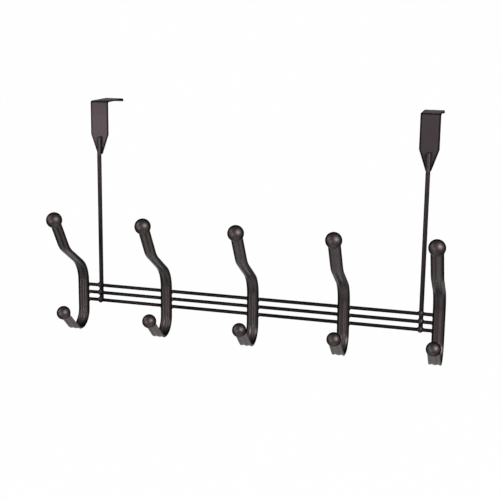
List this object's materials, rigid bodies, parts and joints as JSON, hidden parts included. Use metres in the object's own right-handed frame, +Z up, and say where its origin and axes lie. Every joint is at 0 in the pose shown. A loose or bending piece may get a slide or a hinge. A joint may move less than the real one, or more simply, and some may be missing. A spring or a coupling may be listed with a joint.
{
  "type": "over door hook rack",
  "caption": "Steel rack that hangs over the top of a door by two folded brackets; ball-ended double hooks are welded to round rail wires.",
  "frame": {"origin": "top front edge of the door, midway between the two brackets", "axes": "+X to the right along the rails seen from the front, +Y into the room behind the door, away from the hooks, +Z up"},
  "size_m": [0.442, 0.1389, 0.27],
  "materials": {
    "wire_coat": "satin dark bronze powder coat",
    "bracket_coat": "satin dark bronze powder coat",
    "strip_coat": "satin dark bronze powder coat",
    "ball_coat": "satin dark bronze powder coat"
  },
  "bodies": {
    "root": {"rail_wire_top": "wire_coat", "rail_wire_middle": "wire_coat", "rail_wire_bottom": "wire_coat", "door_bracket_left": "bracket_coat", "upright_wire_left": "wire_coat", "door_bracket_right": "bracket_coat", "upright_wire_right": "wire_coat", "hook_strip_1": "strip_coat", "upper_ball_1": "ball_coat", "lower_ball_1": "ball_coat", "hook_strip_2": "strip_coat", "upper_ball_2": "ball_coat", "lower_ball_2": "ball_coat", "hook_strip_3": "strip_coat", "upper_ball_3": "ball_coat", "lower_ball_3": "ball_coat", "hook_strip_4": "strip_coat", "upper_ball_4": "ball_coat", "lower_ball_4": "ball_coat", "hook_strip_5": "strip_coat", "upper_ball_5": "ball_coat", "lower_ball_5": "ball_coat"}
  },
  "joints": []
}
